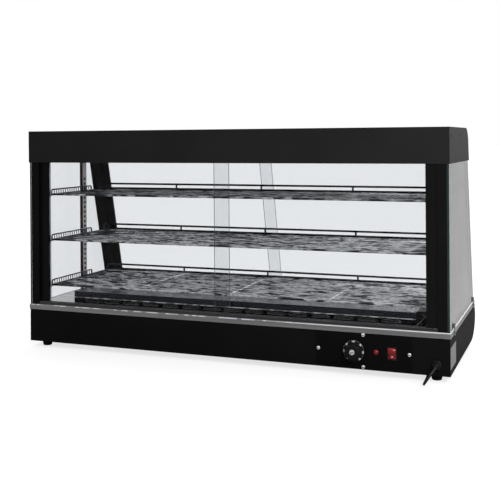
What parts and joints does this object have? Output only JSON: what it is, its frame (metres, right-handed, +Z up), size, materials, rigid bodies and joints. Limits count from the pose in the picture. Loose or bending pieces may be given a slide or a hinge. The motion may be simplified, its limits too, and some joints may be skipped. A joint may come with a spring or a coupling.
{
  "type": "hot food display case",
  "caption": "Countertop heated display case: glazed cabinet with sliding doors on both sides, wire shelves, a curved canopy and a base with a thermostat dial and mains lead.",
  "frame": {"origin": "on the bench, under the middle of the case's box without the mains lead", "axes": "+Z up; +X towards the operator's right; -Y towards the operator, who faces the upright doors and the controls; +Y towards the sloped customer side"},
  "size_m": [1.2068, 0.671, 0.62],
  "materials": {
    "black_steel": "satin black powder coat",
    "canopy_paint": "satin charcoal powder coat",
    "stainless": "brushed stainless sheet",
    "liner_sheet": "satin white",
    "panel_black": "smooth black",
    "screw_steel": "bright",
    "dark_screw": "black",
    "rubber_black": "matte",
    "cord_rubber": "matte",
    "label_grey": "matte",
    "knob_black": "matte",
    "lens_red": "translucent red",
    "rocker_red": "gloss red",
    "black_plastic": "semi-gloss",
    "body_beige": "matte",
    "wire_brown": "satin",
    "capillary_steel": "bright",
    "element_steel": "heat-tinted",
    "cover_steel": "brushed",
    "lamp_white": "frosted white",
    "holder_white": "satin",
    "side_glass": "clear, green edges",
    "door_glass": "clear",
    "track_grey": "satin",
    "clip_steel": "satin",
    "pilaster_steel": "satin",
    "shelf_chrome": "bright wire",
    "stile_black": "satin black",
    "pin_brass": "polished"
  },
  "bodies": {
    "case": {"base_shell": "black_steel", "base_fascia": "black_steel", "base_bottom": "black_steel", "deck_pan": "stainless", "deck_trim": "stainless", "feet": "rubber_black", "rating_label": "label_grey", "control_panel": "panel_black", "panel_screws": "screw_steel", "thermostat_body": "body_beige", "thermostat_bulb": "capillary_steel", "indicator_lens": "lens_red", "indicator_body": "black_plastic", "rocker_housing": "black_plastic", "terminal_block": "body_beige", "wiring_loom": "wire_brown", "cable_gland": "black_plastic", "strain_relief": "rubber_black", "power_cord": "cord_rubber", "cord_coil": "cord_rubber", "plug_body": "rubber_black", "plug_pins": "pin_brass", "heating_elements": "element_steel", "heater_cover": "cover_steel", "wiring_cover": "panel_black", "lamp_tube": "lamp_white", "lamp_holders": "holder_white", "post_front_left": "black_steel", "post_front_right": "black_steel", "post_rear_left": "black_steel", "post_rear_right": "black_steel", "side_glass_left": "side_glass", "side_glass_right": "side_glass", "glass_clips": "clip_steel", "track_front_lower": "track_grey", "track_front_upper": "track_grey", "track_rear_lower": "track_grey", "track_rear_upper": "track_grey", "pilasters_front": "pilaster_steel", "pilasters_rear": "pilaster_steel", "shelf_clips": "clip_steel", "shelf_top": "shelf_chrome", "shelf_middle": "shelf_chrome", "shelf_bottom": "shelf_chrome", "canopy_shell": "canopy_paint", "canopy_liner": "liner_sheet", "case_screws": "dark_screw"},
    "door_front_left": {"door_front_left": "door_glass", "stile_front_left": "stile_black"},
    "door_front_right": {"door_front_right": "door_glass", "stile_front_right": "stile_black"},
    "door_rear_left": {"door_rear_left": "door_glass", "stile_rear_left": "stile_black"},
    "door_rear_right": {"door_rear_right": "door_glass", "stile_rear_right": "stile_black"},
    "dial": {"dial": "knob_black", "dial_cap": "knob_black", "dial_spindle": "screw_steel"},
    "rocker": {"rocker_button": "rocker_red"}
  },
  "joints": [
    {"name": "slide_front_left", "type": "slide", "parent": "case", "child": "door_front_left", "axis": [1, 0, 0], "range_m": [0, 0.53]},
    {"name": "slide_front_right", "type": "slide", "parent": "case", "child": "door_front_right", "axis": [1, 0, 0], "range_m": [-0.53, 0]},
    {"name": "slide_rear_left", "type": "slide", "parent": "case", "child": "door_rear_left", "axis": [1, 0, 0], "range_m": [0, 0.53]},
    {"name": "slide_rear_right", "type": "slide", "parent": "case", "child": "door_rear_right", "axis": [1, 0, 0], "range_m": [-0.53, 0]},
    {"name": "dial_turn", "type": "hinge", "parent": "case", "child": "dial", "pos_m": [0.361, -0.238, 0.062], "axis": [0, 1, 0], "range_deg": [0, 280]},
    {"name": "rocker_tilt", "type": "hinge", "parent": "case", "child": "rocker", "pos_m": [0.457, -0.235, 0.062], "axis": [1, 0, 0], "range_deg": [-24, 0]}
  ]
}
